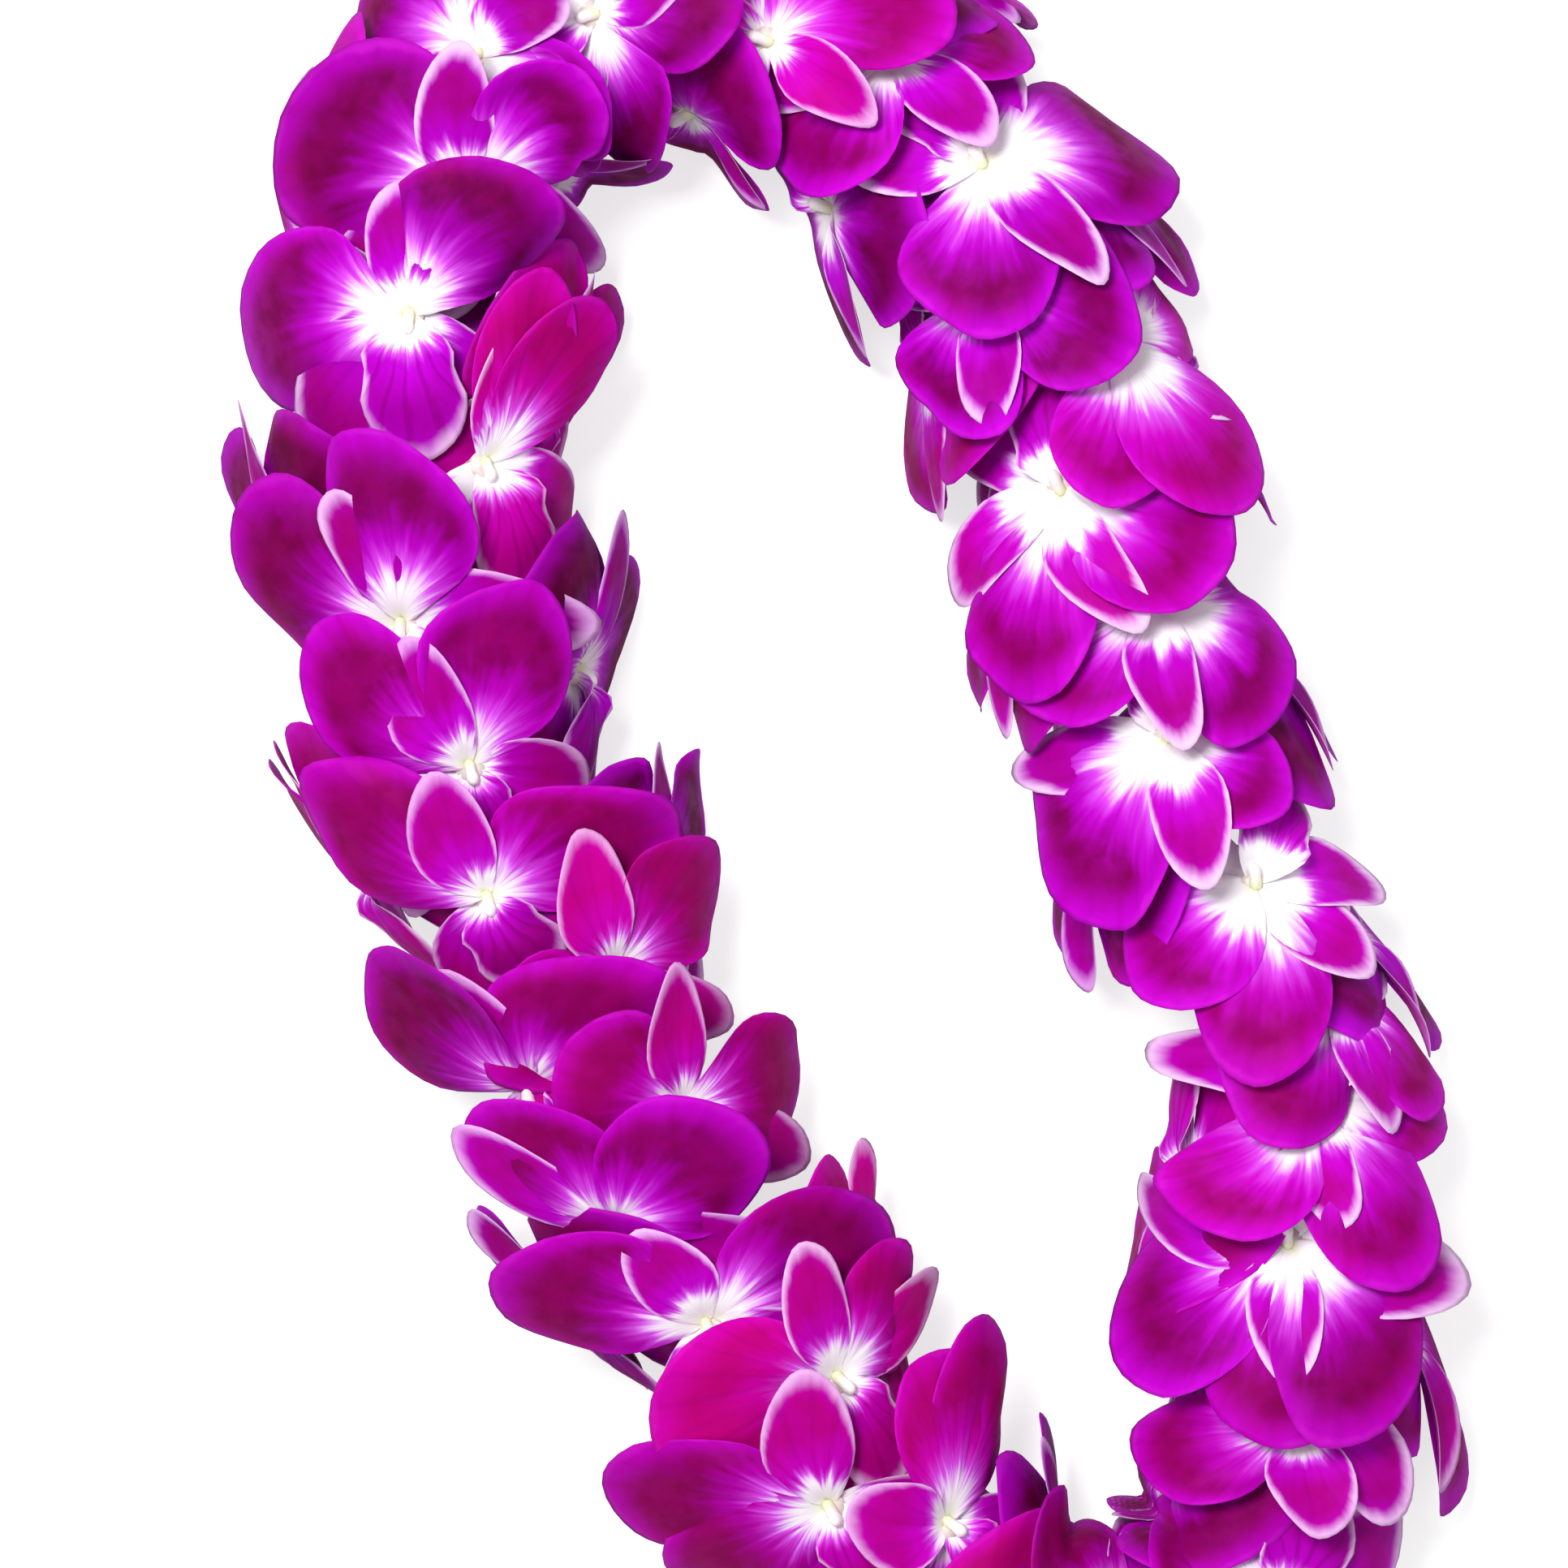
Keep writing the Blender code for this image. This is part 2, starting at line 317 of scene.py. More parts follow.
def makeFanTree():
    # a fan of rows from a narrow root out to an egg-shaped rim, as veins run in a petal
    tree = bpy.data.node_groups.new("petalFan", "GeometryNodeTree")
    rule, given, end = openTree(tree, [
        ("Length", "Float", 0.039), ("Width", "Float", 0.032), ("Spread", "Float", 1.3),
        ("Root", "Float", 0.002), ("Tip", "Float", 0.0), ("Claw", "Float", 0.0), ("Bulge", "Float", 0.0),
        ("Blunt", "Float", 0.0), ("Rows", "Int", 20), ("Columns", "Int", 20), ("Finish", "Material", None),
    ], [("Geometry", "Geometry")])
    length, width = given["Length"], given["Width"]
    size = {"Vertices X": given["Rows"], "Vertices Y": given["Columns"]}
    last = rule.add("GeometryNodeMeshGrid", size, "Mesh")
    split = rule.add("ShaderNodeSeparateXYZ", {0: rule.add("GeometryNodeInputPosition")}).node.outputs
    u = rule.plus(split[0], 0.5)
    w = rule.times(split[1], 2.0)
    # even steps along the rim
    wide = rule.do("TANGENT", rule.times(w, given["Spread"]))
    angle = rule.do("ARCTANGENT", rule.times(wide, rule.over(width, length)))
    cosine = rule.do("COSINE", angle)
    sine = rule.do("SINE", angle)
    ratio = rule.over(length, width)
    squared = rule.times(ratio, ratio)
    below = rule.plus(rule.times(cosine, cosine), rule.times(squared, rule.times(sine, sine)))
    reach = rule.over(rule.times(length, cosine), below)
    # a small point at the very tip
    near = rule.do("EXPONENT", rule.times(rule.times(angle, angle), fanForm["tipSharp"]))
    reach = rule.plus(reach, rule.times(near, given["Tip"]))
    radius = rule.plus(given["Root"], rule.times(rule.minus(reach, given["Root"]), u))
    x = rule.times(radius, cosine)
    far = rule.over(x, length)
    # narrow claw at the root, widest beyond the middle
    hold = rule.do("EXPONENT", rule.times(rule.times(far, far), fanForm["clawEnd"]))
    claw = rule.minus(1.0, rule.times(given["Claw"], hold))
    bulge = rule.plus(1.0, rule.times(given["Bulge"], rule.minus(far, fanForm["bulgeMiddle"])))
    arch = rule.do("MAXIMUM", rule.do("SINE", rule.times(far, math.pi)), fanForm["leastArch"])
    blunt = rule.do("POWER", arch, rule.times(given["Blunt"], -1.0))
    y = rule.times(rule.times(radius, sine), rule.times(blunt, rule.times(claw, bulge)))
    fan = rule.over(angle, fanForm["fanUnit"])
    for name, value in (("rimShare", u), ("fan", fan), ("along", rule.over(radius, length))):
        store = rule.add("GeometryNodeStoreNamedAttribute", {"Geometry": last, "Name": name}, "Geometry",
                         data_type="FLOAT", domain="POINT").node
        place = [k for k, s in enumerate(store.inputs) if s.name == "Value" and s.enabled][0]
        rule.plug(store, {place: value})
        last = store.outputs["Geometry"]
    moved = rule.add("GeometryNodeSetPosition", {"Geometry": last, "Position": rule.vector(x, y, 0.0)})
    closeTree(rule, given, end, moved)
    return tree


def runTree(tree, name, values, guide=None):
    # grow the tree on a throwaway object and hand back its plain mesh
    thing = addObject(name, guide or bpy.data.meshes.new(name))
    grow = thing.modifiers.new("grow", "NODES")
    grow.node_group = tree
    sockets = {i.name: i.identifier for i in tree.interface.items_tree if i.in_out == "INPUT"}
    for key, value in values.items():
        grow[sockets[key]] = value
    bpy.context.view_layer.update()
    grown = thing.evaluated_get(bpy.context.evaluated_depsgraph_get())
    mesh = bpy.data.meshes.new_from_object(grown)
    thing.modifiers.remove(grow)
    bpy.data.objects.remove(thing, do_unlink=True)
    return mesh


def readAttribute(mesh, name):
    values = np.zeros(len(mesh.vertices), np.float32)
    mesh.attributes[name].data.foreach_get("value", values)
    return values.astype(float)


def readPattern(mesh, rows, columns):
    flat = np.zeros(len(mesh.vertices) * 3, np.float32)
    mesh.vertices.foreach_get("co", flat)
    flat = flat.reshape(-1, 3).astype(float)
    faces = np.array([list(p.vertices) for p in mesh.polygons])
    along = readAttribute(mesh, "along")
    fan = readAttribute(mesh, "fan")
    share = readAttribute(mesh, "rimShare")
    # corner order of the open edge, for closing the thin side wall
    grid = np.lexsort((fan, share.round(5))).reshape(rows, columns)
    loop = np.concatenate([grid[0, :-1], grid[:-1, -1], grid[-1, :0:-1], grid[:0:-1, 0]])
    return {"x": flat[:, 0], "y": flat[:, 1], "faces": faces, "along": along, "fan": fan,
            "share": share, "loop": loop}


# sizes in mm
tepals = {
    "petal": {"length": 42.0, "width": 34.0, "spread": 1.37, "root": 1.4, "tip": 1.0, "claw": 0.50,
              "bulge": 0.24, "blunt": 0.10, "rows": 32, "columns": 33, "thick": 0.5, "finish": "petal"},
    "tongue": {"length": 31.0, "width": 16.0, "spread": 1.43, "root": 1.4, "tip": 1.5, "claw": 0.36,
               "bulge": -0.10, "blunt": 0.05, "rows": 26, "columns": 29, "thick": 0.5, "finish": "sepal"},
    "sepal": {"length": 36.0, "width": 18.5, "spread": 1.43, "root": 1.4, "tip": 1.8, "claw": 0.20,
              "bulge": -0.10, "blunt": 0.05, "rows": 26, "columns": 27, "thick": 0.5, "finish": "sepal"},
    "lip": {"length": 29.0, "width": 17.0, "spread": 1.42, "root": 1.6, "tip": 0.8, "claw": 0.20,
            "bulge": 0.10, "blunt": 0.10, "rows": 26, "columns": 29, "thick": 0.55, "finish": "lip"},
}


bandInputs = {"White Reach": 0.26, "White Soft": 0.12, "Streak": 0.22, "Violet Reach": 0.62, "Veins": 9.0,
              "Rim Width": 0.10, "Edge Width": 0.35}
bandForm = {
    "toneShift": 37.0, "streak": (6.0, 1.6), "fine": (15.0, 1.4), "fineShare": 0.5,
    "flareMiddle": 0.4, "flareReach": -0.24, "lean": 0.9, "edgeStreak": 0.5, "edgeDepth": 0.95,
    "heart": (0.34, 0.62), "heartEdge": (0.02, 0.24), "veinTurn": 6.283, "veinWander": 5.0, "veinFrom": 0.35,
    "rimWander": 0.20, "mottle": 150.0, "cells": 2600.0, "waveHeight": 0.3, "mottleHeight": 1.6,
}


def makePetalBands():
    # white flare at the root breaking up along the veins, a violet zone, a violet edge and a deep heart
    tree = bpy.data.node_groups.new("petalBands", "ShaderNodeTree")
    names = ("White", "Violet", "Vein", "Rim", "Heart", "Mottle", "Height")
    rule, given, end = openTree(tree, [(name, "Float", value) for name, value in bandInputs.items()],
                                [(name, "Float") for name in names])
    along, fan, share, tone, flare = [
        rule.attribute(name) for name in ("along", "fan", "rimShare", "tone", "flare")]
    offset = rule.times(tone, bandForm["toneShift"])

    def veinNoise(stretch, detail, rough):
        # streaks run along the fan of veins, so the pattern is stretched along them
        across, lengthways = stretch
        spot = rule.vector(rule.times(fan, across), rule.times(along, lengthways), offset)
        return rule.noise(spot, 1.0, detail, rough)

    streak = veinNoise(bandForm["streak"], 3.0, 0.6)
    fine = veinNoise(bandForm["fine"], 2.0, 0.5)
    swing = rule.minus(streak, 0.5)
    push = rule.times(swing, given["Streak"])
    pushFine = rule.times(rule.minus(fine, 0.5), rule.times(given["Streak"], bandForm["fineShare"]))
    reachMore = rule.times(rule.minus(flare, bandForm["flareMiddle"]), bandForm["flareReach"])
    place = rule.plus(rule.plus(along, push), rule.plus(pushFine, reachMore))
    whiteEnd = rule.plus(given["White Reach"], given["White Soft"])
    white = rule.ramp(place, given["White Reach"], whiteEnd, 1.0, 0.0)
    violetBase = rule.ramp(place, whiteEnd, given["Violet Reach"], 1.0, 0.0)
    edge = rule.minus(1.0, share)
    # one side of each petal keeps more of the violet edge than the other
    leaning = rule.times(fan, rule.times(rule.minus(tone, 0.5), bandForm["lean"]))
    edgeSpot = rule.plus(edge, rule.plus(rule.times(swing, bandForm["edgeStreak"]), leaning))
    violetEdge = rule.ramp(edgeSpot, 0.0, given["Edge Width"], bandForm["edgeDepth"], 0.0)
    violet = rule.do("MAXIMUM", violetBase, violetEdge)
    heart = rule.times(rule.ramp(place, *bandForm["heart"]), rule.ramp(edge, *bandForm["heartEdge"]))
    # fine darker veins
    wave = rule.do("SINE", rule.plus(rule.times(fan, rule.times(given["Veins"], bandForm["veinTurn"])),
                                     rule.times(swing, bandForm["veinWander"])))
    vein = rule.ramp(wave, bandForm["veinFrom"], 1.0)
    wander = rule.times(swing, bandForm["rimWander"])
    rim = rule.ramp(rule.plus(edge, wander), 0.0, given["Rim Width"], 1.0, 0.0)
    mottle = rule.objectNoise(bandForm["mottle"], 3.0)
    cells = rule.objectNoise(bandForm["cells"])
    height = rule.plus(rule.times(wave, bandForm["waveHeight"]),
                       rule.plus(rule.times(mottle, bandForm["mottleHeight"]), cells))
    rule.plug(end, dict(zip(names, (white, violet, vein, rim, heart, mottle, height))))
    return tree


petalBands = makePetalBands()


petalForm = {
    "mottle": (0.35, 0.70), "violetDepth": 0.90, "heartDepth": (0.72, 0.28), "rimFlare": (0.1, 0.9),
    "rimLeast": 0.55, "rootEnd": (0.03, 0.13), "lilacBand": (0.0, 0.60), "whiteBand": (0.35, 0.95),
    "roughLess": 0.06, "roughMore": 0.08, "bumpHeight": 0.00012,
    "glowRadius": (1.0, 0.2, 0.8), "glowDepth": 0.0012, "specular": 0.12,
}


def petalMaterial(name, look):
    material, rule, shader = newFinish(name)
    inputs = {key: look[key] for key in bandInputs}
    bands = rule.add("ShaderNodeGroup", inputs, node_tree=petalBands).node.outputs
    tone = rule.attribute("tone")
    middle = rule.mix(tone, look["middle"], look["middleOther"])
    deep = rule.mix(tone, look["deep"], look["deepOther"])
    bright = rule.mix(tone, look["violet"], look["violetOther"])
    body = rule.mix(rule.times(bands["Violet"], petalForm["violetDepth"]), middle, bright)
    least, more = petalForm["heartDepth"]
    mottled = rule.plus(least, rule.times(rule.ramp(bands["Mottle"], *petalForm["mottle"]), more))
    body = rule.mix(rule.times(bands["Heart"], mottled), body, deep)
    # painted light: hot pink mixed into the petal colour where light would glow through thin petals
    body = rule.mix(rule.times(rule.attribute("paintedLitPink"), look["paintedLitPinkDepth"]), body, look["paintedLitPink"])
    body = rule.mix(rule.times(bands["Vein"], look["veinDepth"]), body, look["veinColour"])
    # the pale rim fades on blossoms with little white
    paleRim = rule.ramp(rule.attribute("flare"), *petalForm["rimFlare"],
                        look["rimDepth"] * petalForm["rimLeast"], look["rimDepth"])
    body = rule.mix(rule.times(bands["Rim"], paleRim), body, look["rim"])
    root = rule.mix(rule.ramp(rule.attribute("along"), *petalForm["rootEnd"]), look["root"], look["white"])
    body = rule.mix(rule.ramp(bands["White"], *petalForm["lilacBand"]), body, look["lilac"])
    body = rule.mix(rule.ramp(bands["White"], *petalForm["whiteBand"]), body, root)
    rough = rule.ramp(bands["Mottle"], 0.3, 0.7, look["rough"] - petalForm["roughLess"],
                      look["rough"] + petalForm["roughMore"])
    rule.plug(shader, {
        "Base Color": body, "Roughness": rough, "Specular Tint": look["shine"],
        "Normal": rule.bump(bands["Height"], look["bump"], petalForm["bumpHeight"]),
        "Subsurface Weight": look["glow"], "Subsurface Radius": petalForm["glowRadius"],
        "Subsurface Scale": petalForm["glowDepth"], "Specular IOR Level": petalForm["specular"]})
    return material


# colours in red, green and blue out of 255
frontLook = {
    "White Reach": 0.06, "White Soft": 0.40, "Streak": 0.36, "Violet Reach": 0.74, "Veins": 9.0,
    "Rim Width": 0.05, "Edge Width": 0.36, "lilac": linear(216, 84, 234),
    "middle": linear(140, 0, 92), "middleOther": linear(166, 0, 142),
    "deep": linear(82, 0, 46), "deepOther": linear(112, 0, 80),
    "violet": linear(160, 0, 176), "violetOther": linear(194, 4, 218),
    "veinDepth": 0.12, "veinColour": linear(120, 0, 92), "rimDepth": 0.22, "rim": linear(226, 50, 222),
    "root": linear(240, 242, 214), "white": linear(255, 248, 255),
    # painted light: the hot pink of petals lit through from behind, and how strongly it is mixed in
    "paintedLitPink": linear(226, 2, 142), "paintedLitPinkDepth": 0.74,
    "rough": 0.55, "bump": 0.30, "glow": 0.10, "shine": linear(255, 120, 245),
}
backLook = dict(frontLook, **{
    "White Reach": 0.06, "White Soft": 0.34, "Streak": 0.40, "Violet Reach": 0.95, "Edge Width": 0.5,
    "middle": linear(176, 14, 146), "middleOther": linear(216, 84, 196),
    "deep": linear(150, 4, 108), "deepOther": linear(186, 30, 158),
    "violet": linear(186, 40, 196), "violetOther": linear(226, 130, 226),
    "veinDepth": 0.30, "veinColour": linear(150, 8, 128), "rim": linear(236, 150, 230), "rimDepth": 0.4,
    # painted light on the backs too: the hot pink of petals lit through, mixed in more weakly
    "paintedLitPinkDepth": 0.45,
})
tongueLook = dict(frontLook, **{
    "White Reach": 0.12, "White Soft": 0.26, "Streak": 0.30, "Violet Reach": 0.80, "Veins": 6.0,
    "Rim Width": 0.15, "rimDepth": 0.88, "rim": linear(250, 212, 252), "Edge Width": 0.55,
    "middle": linear(164, 0, 150), "middleOther": linear(178, 0, 184),
    "deep": linear(138, 0, 104), "deepOther": linear(158, 0, 140),
})
lipLook = dict(tongueLook, **{
    "White Reach": 0.09, "Rim Width": 0.16, "rim": linear(252, 214, 250), "veinDepth": 0.35,
    "middle": linear(160, 0, 160), "middleOther": linear(184, 0, 196),
    "deep": linear(124, 0, 104), "deepOther": linear(168, 0, 178),
})
plainForm = {
    "mottle": 420.0, "wander": 0.35, "stainBand": (0.5, 0.8), "rough": (0.34, 0.5), "bump": 0.3,
    "bumpHeight": 0.0002, "glow": 0.2, "glowRadius": (1.0, 0.8, 0.7), "glowDepth": 0.002,
}


def plainPlant(name, look):
    # column and neck: waxy pale green to white, stained with pink
    material, rule, shader = newFinish(name)
    mottle = rule.objectNoise(plainForm["mottle"], 3.0)
    place = rule.plus(rule.attribute("along"), rule.times(rule.minus(mottle, 0.5), plainForm["wander"]))
    colour = rule.mix(rule.ramp(place, look["from"], look["to"]), look["low"], look["high"])
    stain = rule.times(rule.ramp(mottle, *plainForm["stainBand"]), look["stain"])
    rule.plug(shader, {
        "Base Color": rule.mix(stain, colour, look["stainColour"]),
        "Roughness": rule.ramp(mottle, 0.3, 0.7, *plainForm["rough"]),
        "Normal": rule.bump(mottle, plainForm["bump"], plainForm["bumpHeight"]),
        "Subsurface Weight": plainForm["glow"], "Subsurface Radius": plainForm["glowRadius"],
        "Subsurface Scale": plainForm["glowDepth"]})
    return material


finishes = {
    "petal": petalMaterial("petal face", frontLook),
    "back": petalMaterial("petal back", backLook),
    "sepal": petalMaterial("sepal face", tongueLook),
    "lip": petalMaterial("lip face", lipLook),
    "column": plainPlant("column wax", {
        "low": linear(226, 228, 190), "high": linear(250, 246, 240), "from": 0.1, "to": 0.6,
        "stain": 0.35, "stainColour": linear(240, 190, 226)}),
    "neck": plainPlant("neck green", {
        "low": linear(206, 214, 150), "high": linear(238, 226, 214), "from": 0.2, "to": 0.9,
        "stain": 0.5, "stainColour": linear(222, 140, 196)}),
}
finishPlace = {name: place for place, name in enumerate(finishes)}
print("finishes ready")


class Shape:
    # gathers points, faces, finishes and painted values for one mesh
    def __init__(self):
        self.points, self.faces, self.finish = [], [], []
        self.values = {key: [] for key in ("along", "fan", "rimShare", "tone", "paintedLitPink", "flare")}
        self.count = 0

    def add(self, points, faces, finish, values):
        self.points.append(points)
        for face in faces:
            self.faces.append(np.asarray(face) + self.count)
        self.finish.append(np.asarray(finish))
        for key in self.values:
            painted = np.asarray(values.get(key, 0.0), float)
            self.values[key].append(np.broadcast_to(painted, (len(points),)))
        self.count += len(points)

    def build(self, name, materials):
        points = np.concatenate(self.points)
        mesh = bpy.data.meshes.new(name)
        corners = np.concatenate([f.reshape(-1) for f in self.faces]).astype(np.int32)
        sizes = np.concatenate([np.full(len(f), f.shape[1]) for f in self.faces]).astype(np.int32)
        mesh.vertices.add(len(points))
        mesh.vertices.foreach_set("co", points.astype(np.float32).reshape(-1))
        mesh.loops.add(len(corners))
        mesh.loops.foreach_set("vertex_index", corners)
        mesh.polygons.add(len(sizes))
        starts = np.concatenate([[0], np.cumsum(sizes)[:-1]])
        mesh.polygons.foreach_set("loop_start", starts.astype(np.int32))
        mesh.polygons.foreach_set("loop_total", sizes)
        mesh.update(calc_edges=True)
        for material in materials:
            mesh.materials.append(material)
        mesh.polygons.foreach_set("material_index", np.concatenate(self.finish).astype(np.int32))
        mesh.polygons.foreach_set("use_smooth", np.ones(len(sizes), bool))
        for key, parts in self.values.items():
            attribute = mesh.attributes.new(key, "FLOAT", "POINT")
            attribute.data.foreach_set("value", np.concatenate(parts).astype(np.float32))
        mesh.validate()
        return addObject(name, mesh)


def smoothStep(value, low, high):
    t = np.clip((value - low) / (high - low), 0, 1)
    return t * t * (3 - 2 * t)


def hump(value, middle, wide):
    return np.exp(-((value - middle) / wide) ** 2)


wallForm = {"thinFrom": 0.55, "thinning": 0.72}


def addSheet(shape, spot, pattern, direction, flow, thick, front, values):
    # one petal, sepal or lip: its flat pattern is laid on the blossom, bent and given a thin wall
    x, y = flow["x"], flow["y"]
    cosine, sine = math.cos(direction), math.sin(direction)
    ahead = -x * cosine - y * sine
    aside = x * sine - y * cosine
    back = finishPlace["back"]
    wall = thick * (1.0 - wallForm["thinning"] * smoothStep(pattern["share"], wallForm["thinFrom"], 1.0)) / 2
    top = onBlossom(spot, ahead, aside, flow["z"] + wall)
    low = onBlossom(spot, ahead, aside, flow["z"] - wall)
    count = len(x)
    faces = pattern["faces"]
    loop = pattern["loop"]
    after = np.roll(loop, -1)
    normal = np.cross(top[faces[0][1]] - top[faces[0][0]], top[faces[0][2]] - top[faces[0][1]])
    if normal @ (top[faces[0][0]] - low[faces[0][0]]) < 0:
        faces = faces[:, ::-1]
    rim = np.stack([loop, after, after + count, loop + count], axis=1)
    # the wall has to run against the top face's own edge order
    pairs = {(int(a), int(b)) for f in faces for a, b in zip(f, np.roll(f, -1))}
    if (int(loop[0]), int(after[0])) in pairs:
        rim = rim[:, ::-1]
    finish = [np.full(len(faces), front), np.full(len(faces), back), np.full(len(rim), front)]
    shape.add(np.concatenate([top, low]), [faces, faces[:, ::-1] + count, rim], np.concatenate(finish),
              {key: np.concatenate([np.broadcast_to(v, (count,))] * 2) for key, v in values.items()})


form = {
    "throatDip": 2.6 * mm, "throatWide": 6.0 * mm, "flatRoot": (1 * mm, 8 * mm), "layerEnd": 6 * mm,
    "columnLong": 6.8 * mm, "columnWide": 1.5 * mm, "columnSink": 0.6 * mm, "columnSides": 12,
    "columnRadii": (0.85, 1.0, 0.95, 0.90, 0.92, 1.0, 1.04, 0.86, 0.45), "columnFlat": 1.15,
    "columnRise": 0.42, "columnBend": 1.5, "columnReach": 0.85, "columnBack": 0.15,
    "neckWide": 2.3 * mm, "neckGrowth": (0.62, 0.25, 0.75), "neckLow": 1.9 * mm, "neckBow": 1.2,
    "neckSides": 10, "eyelet": 1.75 * mm, "eyeletThick": 0.75 * mm, "eyeletDeep": 1.5, "eyeletAround": 14,
    "eyeletSides": 8, "eyeletAlong": 0.1,
    "toneTop": 0.95, "toneSpread": 0.45, "toneJitter": 0.36, "crimsonPlace": 0.31, "crimsonShare": 0.60,
    # painted light: ranges for how much hot pink of petals lit through a side blossom and each tepal get
    "sidePaintedLitPink": (-0.6, 0.8), "sideFlare": (0.2, 0.6), "paintedLitPinkShare": (0.5, 1.0),
    "ownBroad": 1.03, "ownLong": 1.03, "ownJitter": 3, "sideBroad": 1.34, "sideLong": 1.12, "sideJitter": 8,
    "seed": 1000,
    # shares of own tepals: a start and a slope each
    "longShare": (0.30, 0.72), "wideShare": (0.46, 0.68),
    # kind and direction from straight back, in degrees
    "plain": [("sepal", 136), ("sepal", -136), ("petal", 62), ("petal", -62), ("tongue", 0), ("lip", 180)],
    "close": 60,
    "lift": {"sepal": -0.9, "petal": 0.2, "tongue": 1.0, "lip": 1.5}, "liftStep": 0.25, "plainDrop": 0.7,
}


def addTube(shape, centres, radii, sides, finish, values, guide, flat=1.0):
    # closed tube along a few points, its sides counted from the guide direction
    centres = np.asarray(centres, float)
    lanes = np.gradient(centres, axis=0)
    lanes /= np.linalg.norm(lanes, axis=1)[:, None]
    rings, share = [], []
    for k, (centre, lane, radius) in enumerate(zip(centres, lanes, radii)):
        first = guide - lane * (guide @ lane)
        first /= np.linalg.norm(first)
        second = np.cross(lane, first)
        turn = np.arange(sides) / sides * 2 * math.pi
        circle = np.cos(turn)[:, None] * first + flat * np.sin(turn)[:, None] * second
        rings.append(centre + radius * circle)
        share += [k / (len(centres) - 1)] * sides
    points = np.concatenate(rings + [centres[:1], centres[-1:]])
    share += [0.0, 1.0]
    faces = []
    for k in range(len(centres) - 1):
        a = np.arange(sides) + k * sides
        b = (np.arange(sides) + 1) % sides + k * sides
        faces.append(np.stack([a, b, b + sides, a + sides], axis=1))
    start, end = len(centres) * sides, len(centres) * sides + 1
    ring = np.arange(sides)
    after = (ring + 1) % sides
    firstCap = np.stack([after, ring, np.full(sides, start)], axis=1)
    last = (len(centres) - 1) * sides
    lastCap = np.stack([ring + last, after + last, np.full(sides, end)], axis=1)
    quads = np.concatenate(faces)
    shape.add(points, [quads, firstCap, lastCap], np.full(len(quads) + 2 * sides, finish),
              dict(values, along=np.array(share)))


def addRing(shape, centre, axis, facing, finish, values):
    # small eyelet of neck tissue the thread passes through
    around, sides = form["eyeletAround"], form["eyeletSides"]
    side = np.cross(axis, facing)
    turns = np.arange(around) / around * 2 * math.pi
    points = []
    for turn in turns:
        out = math.cos(turn) * facing + math.sin(turn) * side
        rounds = np.arange(sides)[:, None] / sides * 2 * math.pi
        circle = np.cos(rounds) * out + form["eyeletDeep"] * np.sin(rounds) * axis
        points.append(centre + out * form["eyelet"] + form["eyeletThick"] * circle)
    points = np.concatenate(points)
    a = (np.arange(around)[:, None] * sides + np.arange(sides)[None, :])
    b = (np.arange(around)[:, None] * sides + (np.arange(sides)[None, :] + 1) % sides)
    nextA, nextB = np.roll(a, -1, axis=0), np.roll(b, -1, axis=0)
    faces = np.stack([a, b, nextB, nextA], axis=-1).reshape(-1, 4)
    shape.add(points, [faces], np.full(len(faces), finish), values)


def fullLayout(own):
    # a blossom's own tepals, and a plain one wherever it has none: kind, direction, shares, lift in mm
    layout = []
    longFrom, longMore = form["longShare"]
    wideFrom, wideMore = form["wideShare"]
    for order, (kind, angle, long, wide) in enumerate(own):
        layout.append((kind, angle, longFrom + longMore * long, wideFrom + wideMore * wide,
                       form["lift"][kind] + form["liftStep"] * order))
    for kind, angle in form["plain"]:
        alike = ("sepal", "tongue") if kind in ("sepal", "tongue") else (kind,)
        same = [a for k, a, long, wide in own if k in alike]
        close = 360 if kind == "lip" else form["close"]
        near = any(abs(math.remainder(a - angle, 360)) <= close for a in same)
        if near or (kind == "petal" and len(same) > 1):
            continue
        layout.append((kind, angle, 1.0, 1.0, form["lift"][kind] - (form["plainDrop"] if own else 0.0)))
    return layout
